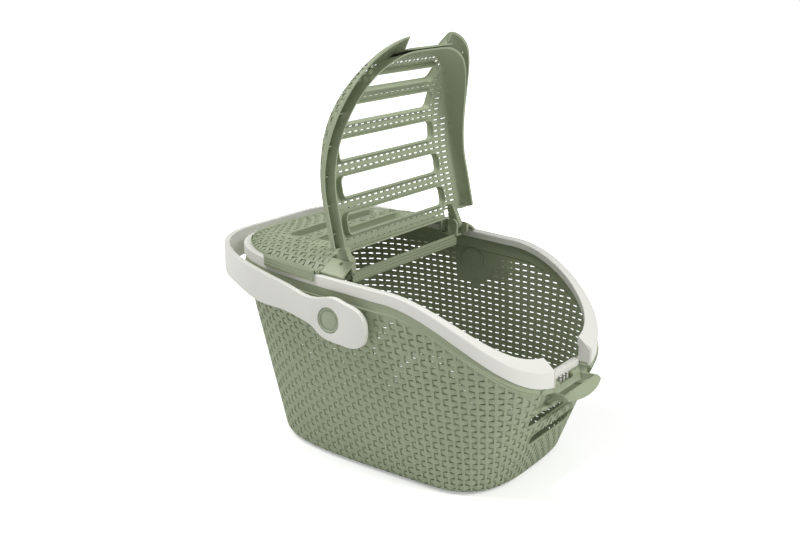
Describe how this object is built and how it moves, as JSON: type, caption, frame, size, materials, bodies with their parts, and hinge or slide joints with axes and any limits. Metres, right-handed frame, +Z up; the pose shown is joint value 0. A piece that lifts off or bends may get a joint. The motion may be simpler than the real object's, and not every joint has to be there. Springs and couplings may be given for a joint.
{
  "type": "pet carrier",
  "caption": "Moulded pet carrier tub with rim band, rear lid, hinged front door, swing carrying handle, latch flap and side clips.",
  "frame": {"origin": "floor point under the middle of the rim, on the flat underside of the tub", "axes": "+X to the front (latch end), +Y to the left side, +Z up"},
  "size_m": [0.5522, 0.385, 0.5973],
  "materials": {
    "sage_plastic": "sage green moulded plastic, matte",
    "white_plastic": "warm off-white moulded plastic, satin"
  },
  "bodies": {
    "base": {"tub": "sage_plastic", "rim_band": "white_plastic", "rear_lid": "sage_plastic", "hinge_pin_left": "sage_plastic", "hinge_pin_right": "sage_plastic", "pivot_stud_left": "sage_plastic", "pivot_stud_right": "sage_plastic", "pivot_cap_left": "sage_plastic", "pivot_cap_right": "sage_plastic", "latch_pin_left": "sage_plastic", "latch_pin_right": "sage_plastic"},
    "door": {"door": "sage_plastic"},
    "handle": {"handle": "white_plastic"},
    "latch": {"latch_flap": "sage_plastic"},
    "clip_left": {"side_clip_left": "sage_plastic"},
    "clip_right": {"side_clip_right": "sage_plastic"}
  },
  "joints": [
    {"name": "door_hinge", "type": "hinge", "parent": "base", "child": "door", "pos_m": [-0.0256, 0, 0.2998], "axis": [0, 1, 0], "range_deg": [0, 105]},
    {"name": "handle_swing", "type": "hinge", "parent": "base", "child": "handle", "pos_m": [-0.014, 0, 0.234], "axis": [0, 1, 0], "range_deg": [0, 58]},
    {"name": "latch_hinge", "type": "hinge", "parent": "base", "child": "latch", "pos_m": [0.2412, 0, 0.141], "axis": [0, 1, 0], "range_deg": [-90, 0]},
    {"name": "clip_left_hinge", "type": "hinge", "parent": "base", "child": "clip_left", "pos_m": [-0.148, 0.16132, 0.29547], "axis": [0.994, 0.0961, -0.0517], "range_deg": [0, 20]},
    {"name": "clip_right_hinge", "type": "hinge", "parent": "base", "child": "clip_right", "pos_m": [-0.148, -0.16132, 0.29547], "axis": [-0.994, 0.0961, 0.0517], "range_deg": [0, 20]}
  ]
}
